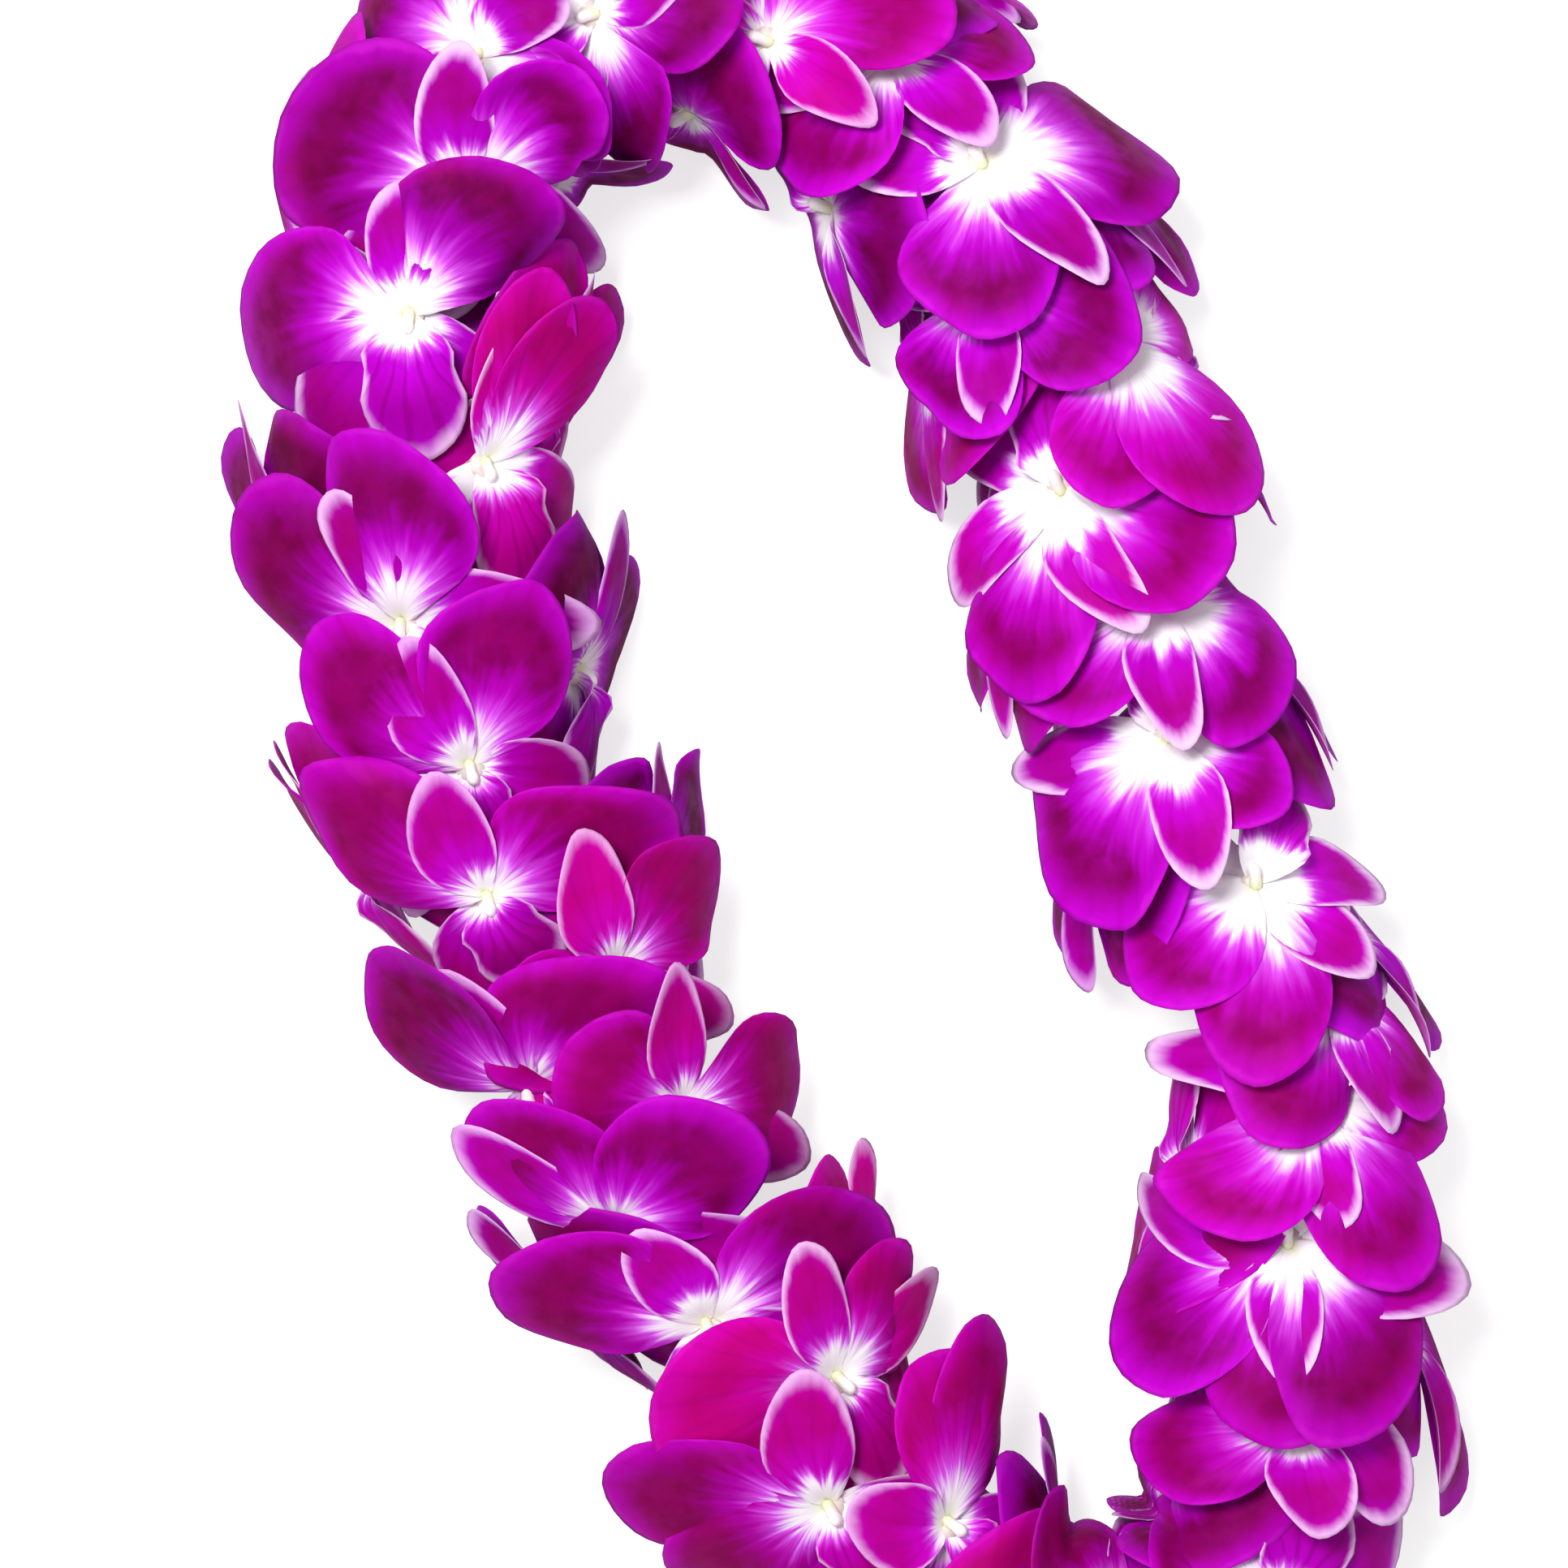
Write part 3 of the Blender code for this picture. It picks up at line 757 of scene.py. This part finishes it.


# how single blossoms along the top differ: white flare, the share of painted light (hot pink where light
# glows through thin petals) and their own tepals, each a kind, a direction, a length and a width
manner = {
    33: (0.5, 0.1, [("petal", -95, 1.2, 0.95), ("petal", -15, 0.9, 0.6), ("tongue", 5, 0.7, 0.7)]),
    61: (0.6, 0.1, [("petal", 82, 1.15, 1.0), ("petal", -85, 1.15, 0.8), ("petal", -70, 1.05, 0.7),
         ("tongue", 0, 0.7, 0.95)]),
    92: (0.7, 0.1, [("sepal", -95, 1.2, 1.2), ("petal", 80, 1.05, 0.9), ("tongue", 35, 1.0, 0.8),
         ("petal", -20, 1.2, 0.75)]),
    124: (0.55, 0.1, [("tongue", 5, 0.8, 1.0), ("petal", 90, 1.1, 0.9), ("petal", -30, 1.2, 0.9),
         ("lip", -175, 1.2, 1.05), ("sepal", 138, 1.3, 1.3)]),
    161: (0.5, 0.6, [("sepal", 152, 1.25, 1.15), ("petal", -15, 1.2, 0.65), ("lip", -165, 1.35, 1.15),
         ("petal", -30, 1.2, 0.55), ("sepal", -115, 1.15, 1.1)]),
    198: (0.45, 0.15, [("sepal", -92, 1.2, 1.3), ("petal", 55, 1.15, 0.9), ("petal", -15, 1.05, 0.9),
         ("lip", -160, 1.1, 0.8)]),
    235: (0.3, 0.2, [("petal", -30, 1.2, 0.95), ("tongue", 20, 1.05, 1.05), ("petal", 45, 1.2, 0.5),
         ("sepal", -125, 0.75, 0.95)]),
    266: (0.3, 0.25, [("tongue", 5, 0.95, 0.95), ("petal", 35, 1.15, 0.75), ("petal", -80, 1.0, 0.9),
         ("lip", -175, 0.75, 0.9)]),
    296: (0.25, 0.7, [("tongue", 10, 1.15, 1.05), ("petal", -65, 1.0, 0.8), ("petal", 100, 0.7, 0.75),
         ("lip", -165, 0.9, 0.7)]),
    312: (0.2, 0.2, [("petal", 20, 1.1, 0.9), ("sepal", -5, 0.75, 0.95)]),
    333: (0.3, 0.5, [("petal", 45, 0.7, 0.6), ("petal", -105, 0.8, 0.9), ("lip", -180, 0.9, 0.9)]),
    351: (0.35, 0.2, [("petal", 5, 0.9, 0.65), ("petal", -75, 0.8, 0.85), ("sepal", 25, 1.15, 0.65)]),
    382: (0.5, 0.3, [("tongue", -5, 0.85, 1.05), ("petal", 40, 1.15, 0.85), ("petal", -85, 1.2, 0.9),
         ("lip", 175, 1.2, 1.05), ("sepal", 140, 1.15, 0.85), ("sepal", -140, 1.2, 0.75)]),
    411: (0.5, 0.7, [("petal", -70, 0.7, 0.55), ("sepal", -90, 1.0, 0.45)]),
    435: (0.4, 0.4, [("tongue", -25, 1.0, 1.05), ("petal", 45, 1.15, 0.6), ("petal", 80, 0.85, 0.75)]),
    457: (0.4, 0.6, [("petal", -35, 0.9, 0.65), ("petal", -50, 1.2, 0.6), ("tongue", 60, 0.7, 0.95)]),
    598: (0.6, 0.3, [("petal", -70, 1.05, 0.65), ("petal", 115, 0.7, 0.55), ("tongue", 10, 0.7, 1.05),
         ("sepal", 70, 0.85, 0.95)]),
    642: (0.8, 0.2, [("petal", -58, 1.2, 1.0), ("petal", -5, 1.1, 0.9), ("petal", 35, 1.05, 0.85),
         ("sepal", 70, 1.2, 0.95), ("sepal", -95, 1.15, 0.75)]),
    676: (1.0, 0.4, [("tongue", -10, 0.95, 1.0), ("petal", 20, 1.1, 0.8), ("petal", 75, 0.9, 0.65),
         ("petal", -45, 1.1, 0.55), ("lip", 150, 0.9, 0.9)]),
    697: (0.8, 0.3, [("petal", 40, 0.7, 0.5), ("sepal", 100, 0.75, 0.45)]),
    729: (1.0, 0.3, [("petal", -25, 1.15, 0.7), ("sepal", 25, 0.75, 0.85), ("petal", -70, 0.8, 0.65),
         ("sepal", 80, 0.85, 0.65), ("lip", 145, 0.85, 1.05)]),
    770: (0.9, 0.2, [("tongue", -5, 1.15, 0.95), ("petal", -62, 1.2, 0.95), ("petal", 35, 0.7, 0.55),
         ("sepal", -95, 1.0, 0.65)]),
    803: (0.95, 0.2, [("petal", 35, 0.9, 0.9), ("tongue", -25, 1.15, 0.8), ("petal", -70, 0.95, 0.6)]),
    835: (1.0, 0.35, [("petal", -25, 1.2, 0.85), ("petal", 55, 1.1, 0.9), ("tongue", 10, 1.2, 0.85),
         ("sepal", -70, 1.05, 0.65)]),
    865: (0.9, 0.5, [("petal", -20, 0.95, 0.7), ("petal", 105, 1.0, 0.6), ("sepal", 45, 0.8, 0.65),
         ("lip", -175, 0.7, 0.85), ("petal", 20, 1.2, 0.9)]),
    890: (0.6, 0.1, [("petal", -35, 0.7, 0.8)]),
    916: (0.85, 0.15, [("petal", -35, 1.05, 0.8), ("tongue", 0, 1.2, 0.7), ("tongue", -135, 0.8, 1.05),
         ("petal", 68, 1.2, 0.85)]),
    949: (0.5, 0.2, [("petal", -90, 0.85, 0.9), ("petal", 70, 0.7, 0.6)]),
    976: (0.4, 0.6, [("petal", -105, 0.7, 0.5)]),
}

# how tepals bend, in mm, and how their outlines vary; pairs are ranges to draw from
sway = {
    "long": (0.96, 1.04), "wide": (0.94, 1.05), "phase": (0, 6.3), "waveUnit": 3.1,
    "crease": 0.5, "creaseIn": (0.05, 0.3),
    "petal": {"cup": (0.2, 2.8), "nod": (-0.6, 2.2), "crease": 0.09, "ruffle": (0.4, 1.3), "waves": [2, 3, 4],
              "curl": 4.5, "curlIn": (0.45, 1.1), "pinch": (-0.04, 0.30), "pinchIn": (0.5, 1.05),
              "sickle": (-0.14, 0.14), "sickleIn": (0.2, 1.0), "nibble": 0.028, "nibbles": (5, 9),
              "fold": (-2.6, 0.8), "foldWide": 0.30, "foldIn": (0.3, 1.0), "crinkle": 0.22, "crinkles": 17,
              "twist": (-1.4, 1.4)},
    "slim": {"cup": (-1.4, 2.6), "nod": (-3.0, 1.6), "crease": 0.12, "ruffle": (0.2, 0.6), "waves": 3,
             "sickle": (-0.20, 0.20), "sickleIn": (0.3, 1.0), "twist": (-2.8, 2.8)},
    "lip": {"lobe": 3.6, "lobeAt": (0.22, 0.13), "waist": 0.16, "waistAt": (0.40, 0.12), "arch": 1.8,
            "nod": 1.2, "cup": 0.9, "cupIn": (0.5, 0.9), "ridge": 0.4, "ridges": (-0.16, 0.0, 0.16),
            "ridgeWide": 0.045, "ridgeIn": (0.1, 0.25), "ridgeOut": (0.6, 0.8), "ruffle": 0.4, "waves": 9},
}


def petalFlow(pattern, dice, kind, lengthShare, widthShare):
    settings = tepals[kind]
    s = sway.get(kind, sway["slim"])
    unit = sway["waveUnit"]

    def draw(name):
        return dice.uniform(*s.get(name, sway.get(name)))

    x, y = pattern["x"].copy(), pattern["y"].copy()
    u, fan = pattern["share"], pattern["fan"]
    far = x / (settings["length"] * mm)
    half = y / (0.5 * settings["width"] * mm)
    x = x * lengthShare * draw("long")
    y = y * widthShare * draw("wide")
    z = np.zeros_like(x)
    if kind == "petal":
        z -= mm * draw("cup") * half ** 2
        z -= mm * draw("nod") * far ** 3
        z -= mm * sway["crease"] * hump(fan, 0, s["crease"]) * smoothStep(u, *sway["creaseIn"])
        z += (mm * draw("ruffle") * u ** 4
              * np.sin(dice.choice(s["waves"]) * fan * unit + draw("phase")))
        # one edge curls up or down
        curl = dice.uniform(-1, 1)
        z += (mm * s["curl"] * abs(curl) * smoothStep(half * math.copysign(1, curl), *s["curlIn"])
              * dice.choice([-1, 1]))
        # the outline narrows, leans aside and wavers
        y = y * (1 - draw("pinch") * smoothStep(far, *s["pinchIn"]))
        y = y + x * draw("sickle") * smoothStep(far, *s["sickleIn"])
        nibble = 1 + s["nibble"] * u ** 3 * np.sin(fan * draw("nibbles") + draw("phase"))
        x, y = x * nibble, y * nibble
        # a fold down the middle, fine crinkles and a twist
        z += mm * draw("fold") * hump(fan, 0, s["foldWide"]) * smoothStep(u, *s["foldIn"])
        z += mm * s["crinkle"] * u ** 2 * np.sin(fan * s["crinkles"] + draw("phase"))
        z += mm * draw("twist") * half * far
    elif kind in ("sepal", "tongue"):
        z += mm * draw("cup") * half ** 2
        z += mm * draw("nod") * far ** 3
        z -= mm * sway["crease"] * hump(fan, 0, s["crease"]) * smoothStep(u, *sway["creaseIn"])
        z += mm * draw("ruffle") * u ** 3 * np.sin(s["waves"] * fan * unit + draw("phase"))
        y = y + x * draw("sickle") * smoothStep(far, *s["sickleIn"])
        z += mm * draw("twist") * half * smoothStep(far, *s["sickleIn"])
    else:
        # side lobes stand up beside the column, the middle lobe arches forward
        sideLobe = hump(far, *s["lobeAt"]) * np.abs(half) ** 1.5
        y = y * (1 - s["waist"] * hump(far, *s["waistAt"]))
        z += mm * s["lobe"] * sideLobe
        z += mm * s["arch"] * np.sin(np.clip(far, 0, 1) * math.pi) - mm * s["nod"] * far ** 3
        z -= mm * s["cup"] * half ** 2 * smoothStep(far, *s["cupIn"])
        for ridge in s["ridges"]:
            z += (mm * s["ridge"] * hump(fan, ridge, s["ridgeWide"]) * smoothStep(far, *s["ridgeIn"])
                  * (1 - smoothStep(far, *s["ridgeOut"])))
        z += mm * s["ruffle"] * u ** 4 * np.sin(s["waves"] * fan + draw("phase"))
    return {"x": x, "y": y, "z": z}


def makeBlossom(name, number, spot, patterns):
    dice = random.Random(form["seed"] + number)
    shape = Shape()
    size = spot["size"]
    own = manner.get(spot["key"])
    kin = "own" if own else "side"
    broad, long, jitter = form[kin + "Broad"], form[kin + "Long"], form[kin + "Jitter"]
    roll = 0.0 if own else spot["roll"]
    # crimson down the left arm, violet up the right one
    turn = 2 * math.pi * (spot["place"] / path["length"] - form["crimsonPlace"])
    crimson = 0.5 + 0.5 * math.cos(turn)
    baseTone = form["toneTop"] - form["crimsonShare"] * crimson - form["toneSpread"] * dice.random()
    # these two are drawn for every blossom, used or not, to keep later draws in step
    # painted light: the share of hot pink standing for light glowing through the blossom's thin petals
    drawnLitPink = max(0.0, dice.uniform(*form["sidePaintedLitPink"]))
    drawnFlare = dice.uniform(*form["sideFlare"])
    flare, paintedLitPink, ownTepals = own or (drawnFlare, drawnLitPink, [])
    for kind, angle, lengthShare, widthShare, layer in fullLayout(ownTepals):
        pattern = patterns[kind]
        settings = tepals[kind]
        flow = petalFlow(pattern, dice, kind, lengthShare * size * long, widthShare * size * broad)
        direction = math.radians(angle + dice.uniform(-1, 1) * jitter) + roll
        far = np.hypot(flow["x"], flow["y"])
        flow["z"] *= smoothStep(far, *form["flatRoot"])
        flow["z"] += mm * layer * smoothStep(far, 0, form["layerEnd"])
        flow["z"] -= form["throatDip"] * hump(far, 0, form["throatWide"])
        tone = min(1.0, max(0.0, baseTone + dice.uniform(-form["toneJitter"], form["toneJitter"])))
        values = {"along": pattern["along"], "fan": pattern["fan"], "rimShare": pattern["share"],
                  "tone": tone, "paintedLitPink": paintedLitPink * dice.uniform(*form["paintedLitPinkShare"]), "flare": flare}
        addSheet(shape, spot, pattern, direction, flow, settings["thick"] * mm,
                 finishPlace[settings["finish"]], values)

    # throat, column, neck and eyelet in the blossom's own axes
    nil = np.array([0.0])
    throat = onBlossom(spot, nil, nil, nil)[0]
    string = toWorld(np.array([spot["place"]]), nil, nil)[0]
    along = pathSample(path["along"], spot["place"])
    forward = np.array([along[0], along[1], 0.0])
    forward /= np.linalg.norm(forward)
    facing = (throat - string) / np.linalg.norm(throat - string)
    side = np.cross(facing, forward)
    lean = forward * math.cos(roll) + side * math.sin(roll)
    dip, sink = form["throatDip"], form["columnSink"]
    columnLong, wide = form["columnLong"] * size, form["columnWide"] * size
    steps = np.linspace(0, 1, len(form["columnRadii"]))
    # the column lies forward over the lip and ends in a blunt cap
    centres = [throat - facing * (dip - sink)
               + facing * columnLong * form["columnRise"] * math.sin(t * form["columnBend"])
               + lean * columnLong * (form["columnReach"] * t - form["columnBack"]) for t in steps]
    radii = [wide * r for r in form["columnRadii"]]
    addTube(shape, centres, radii, form["columnSides"], finishPlace["column"], {"tone": baseTone}, side,
            form["columnFlat"])
    drop = np.linalg.norm(throat - string)
    low = form["neckLow"]
    narrow, slope, swell = form["neckGrowth"]
    spots, neckRadii = [], []
    for t in steps:
        rise = low + (drop - dip + sink - low) * t
        spots.append(string + facing * rise + lean * form["neckBow"] * mm * math.sin(t * math.pi))
        neckRadii.append(form["neckWide"] * (narrow + slope * t + swell * t ** 4))
    neck = finishPlace["neck"]
    addTube(shape, spots, neckRadii, form["neckSides"], neck, {"tone": baseTone}, side)
    addRing(shape, string, forward, facing, neck, {"tone": baseTone, "along": form["eyeletAlong"]})
    return shape.build(name, finishes.values())


fanTree = makeFanTree()
patterns = {}
for kind, settings in tepals.items():
    values = {"Finish": finishes["petal"], "Rows": settings["rows"], "Columns": settings["columns"]}
    values.update({key.capitalize(): settings[key] * mm for key in ("length", "width", "root", "tip")})
    values.update({key.capitalize(): settings[key] for key in ("spread", "claw", "bulge", "blunt")})
    mesh = runTree(fanTree, kind, values)
    patterns[kind] = readPattern(mesh, settings["rows"], settings["columns"])
    bpy.data.meshes.remove(mesh)
print("petal patterns ready")

plan = blossomPlan()
for number, spot in enumerate(plan):
    node = f"blossom_{number + 1:02d}"
    blossom = makeBlossom(f"orchid_{number + 1:02d}", number, spot, patterns)
    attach(blossom, "root")
    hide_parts(node)
print("blossoms ready")


thread = {
    "plies": 3, "strand": 0.25 * mm, "twist": 0.19 * mm, "pitch": 2.6 * mm, "step": 0.42 * mm, "sides": 6,
    "tail": 7.0 * mm, "tailUp": 0.9, "tailAlong": 0.42, "tailWave": 0.12, "tailSteps": 12,
    "knot": 0.55 * mm, "knotLong": 1.3, "knotSteps": 60, "ringSteps": 1200,
    "stain": 45.0, "stainBand": (0.40, 0.68), "fibre": 5200.0, "fibreDepth": 0.25, "rough": (0.78, 0.92),
    "bump": 0.5, "bumpHeight": 0.0001, "sheen": 0.3,
    "clean": linear(250, 232, 240), "stained": linear(226, 150, 200), "shade": linear(196, 160, 180),
}


def makeThreadFinish():
    material, rule, shader = newFinish("cotton thread")
    stain = rule.objectNoise(thread["stain"], 3.0)
    fibre = rule.objectNoise(thread["fibre"])
    colour = rule.mix(rule.ramp(stain, *thread["stainBand"]), thread["clean"], thread["stained"])
    rule.plug(shader, {
        "Base Color": rule.mix(rule.times(fibre, thread["fibreDepth"]), colour, thread["shade"]),
        "Roughness": rule.ramp(fibre, 0.3, 0.7, *thread["rough"]),
        "Normal": rule.bump(fibre, thread["bump"], thread["bumpHeight"]), "Sheen Weight": thread["sheen"]})
    return material


def makeStringTree():
    # every line of the guide mesh becomes a thread of three plies twisted round each other
    tree = bpy.data.node_groups.new("twistedString", "GeometryNodeTree")
    rule, given, end = openTree(tree, [
        ("Geometry", "Geometry", None), ("Strand", "Float", thread["strand"]),
        ("Twist", "Float", thread["twist"]), ("Pitch", "Float", thread["pitch"]),
        ("Step", "Float", thread["step"]), ("Sides", "Int", thread["sides"]), ("Finish", "Material", None),
    ], [("Geometry", "Geometry")])
    line = rule.add("GeometryNodeMeshToCurve", {0: given["Geometry"]})
    even = rule.add("GeometryNodeResampleCurve", {"Curve": line, "Length": given["Step"]}, mode="LENGTH")
    normal = rule.add("GeometryNodeInputNormal")
    tangent = rule.add("GeometryNodeInputTangent")
    cross = rule.add("ShaderNodeVectorMath", {0: tangent, 1: normal}, operation="CROSS_PRODUCT")
    factor = rule.add("GeometryNodeSplineParameter", None, "Factor")
    turns = rule.do("ROUND", rule.over(rule.add("GeometryNodeSplineLength", None, "Length"), given["Pitch"]))
    winding = rule.times(rule.times(turns, factor), 2 * math.pi)
    profile = rule.add("GeometryNodeCurvePrimitiveCircle", {
        "Resolution": given["Sides"], "Radius": given["Strand"]})
    join = rule.add("GeometryNodeJoinGeometry")
    for ply in range(thread["plies"]):
        phase = rule.plus(winding, ply * 2 * math.pi / thread["plies"])
        parts = []
        for direction, wave in ((normal, "COSINE"), (cross, "SINE")):
            reach = rule.times(rule.do(wave, phase), given["Twist"])
            parts.append(rule.add("ShaderNodeVectorMath", {0: direction, "Scale": reach}, operation="SCALE"))
        offset = rule.add("ShaderNodeVectorMath", dict(enumerate(parts)), operation="ADD")
        strand = rule.add("GeometryNodeSetPosition", {"Geometry": even, "Offset": offset})
        rule.plug(join.node, {0: rule.add("GeometryNodeCurveToMesh", {
            "Curve": strand, "Profile Curve": profile, "Fill Caps": True})})
    closeTree(rule, given, end, join)
    return tree


def makeThread():
    # guide lines: the ring itself, an overhand knot at its start and two short tails
    s = np.arange(thread["ringSteps"]) / thread["ringSteps"] * path["length"]
    lines = [(np.column_stack([pathSample(path["points"], s), np.full(len(s), path["z"])]), True)]
    origin = toWorld(0.0, 0.0, 0.0)
    along = np.append(pathSample(path["along"], 0.0), 0.0)
    side = np.array([along[1], -along[0], 0.0])
    up = np.array([0.0, 0.0, 1.0])
    t = np.arange(thread["knotSteps"]) / thread["knotSteps"] * 2 * math.pi
    knot = (np.sin(t) + 2 * np.sin(2 * t))[:, None] * side + (np.cos(t) - 2 * np.cos(2 * t))[:, None] * up
    knot = origin + thread["knot"] * (knot + thread["knotLong"] * np.sin(3 * t)[:, None] * along)
    lines.append((knot, True))
    t = np.linspace(0, 1, thread["tailSteps"])[:, None]
    for way in (-1, 1):
        climb = t * (thread["tailUp"] * up + thread["tailAlong"] * way * along)
        wave = thread["tailWave"] * np.sin(t * 3) * side * way
        lines.append((origin + thread["tail"] * (climb + wave), False))
    points, edges, count = [], [], 0
    for line, closed in lines:
        points.append(line)
        index = np.arange(len(line)) + count
        edges += list(zip(index[:-1].tolist(), index[1:].tolist()))
        if closed:
            edges.append((int(index[-1]), int(index[0])))
        count += len(line)
    guide = bpy.data.meshes.new("string guide")
    guide.from_pydata(np.concatenate(points).tolist(), edges, [])
    mesh = runTree(makeStringTree(), "string", {"Finish": makeThreadFinish()}, guide)
    mesh.name = "string"
    mesh.polygons.foreach_set("use_smooth", np.ones(len(mesh.polygons), bool))
    return addObject("string", mesh)


threadPiece = makeThread()
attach(threadPiece, "root")
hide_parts("thread")
print("thread ready")


studio = {
    "roll": -16.0, "distance": 1.25, "across": 0.3864, "sensor": 36, "middle": (-0.0097, 0.0164),
    "aimHeight": 0.035, "nearest": 0.05, "farthest": 20,
    "tableSize": 6.0, "tableDrop": 0.0005, "grain": 30.0, "dark": (0.50, 0.50, 0.50, 1.0),
    "light": (0.53, 0.53, 0.53, 1.0), "rough": 0.9, "glow": 0.68, "white": (1.0, 1.0, 1.0, 1.0), "sky": 0.50,
    # name, place, size in metres and power
    "lamps": [("key", (-0.35, 0.60, 1.7), 0.55, 30.0), ("fill", (0.9, -0.4, 1.3), 1.4, 2.0)],
}


def makeStudio():
    material, rule, shader = newFinish("pale table")
    # the glow whitens the table for the lens only and lights nothing from below
    seen = rule.add("ShaderNodeLightPath", None, "Is Camera Ray")
    rule.plug(shader, {
        "Base Color": rule.mix(rule.objectNoise(studio["grain"]), studio["dark"], studio["light"]),
        "Roughness": studio["rough"], "Emission Color": studio["white"],
        "Emission Strength": rule.times(seen, studio["glow"])})
    bpy.ops.mesh.primitive_plane_add(size=studio["tableSize"], location=(0, 0, -studio["tableDrop"]))
    floor = bpy.context.object
    floor.name = "table"
    floor.data.materials.append(material)

    world = bpy.data.worlds.new("sky")
    bpy.context.scene.world = world
    world.use_nodes = True
    sky = world.node_tree.nodes["Background"]
    sky.inputs[0].default_value = studio["white"]
    sky.inputs[1].default_value = studio["sky"]
    for name, place, size, power in studio["lamps"]:
        light = bpy.data.lights.new(name, "AREA")
        light.size = size
        light.energy = power
        lamp = addObject(name, light)
        lamp.location = place
        lamp.rotation_euler = (-Vector(place)).to_track_quat("-Z", "Y").to_euler()

    lens = bpy.data.cameras.new("camera")
    lens.lens = studio["sensor"] * studio["distance"] / studio["across"]
    lens.clip_start = studio["nearest"]
    lens.clip_end = studio["farthest"]
    eye = addObject("camera", lens)
    eye.location = (*studio["middle"], studio["aimHeight"] + studio["distance"])
    eye.rotation_euler = (0.0, 0.0, math.radians(studio["roll"]))
    bpy.context.scene.camera = eye
    bpy.context.scene.view_settings.view_transform = "Standard"


makeStudio()
print("studio ready")
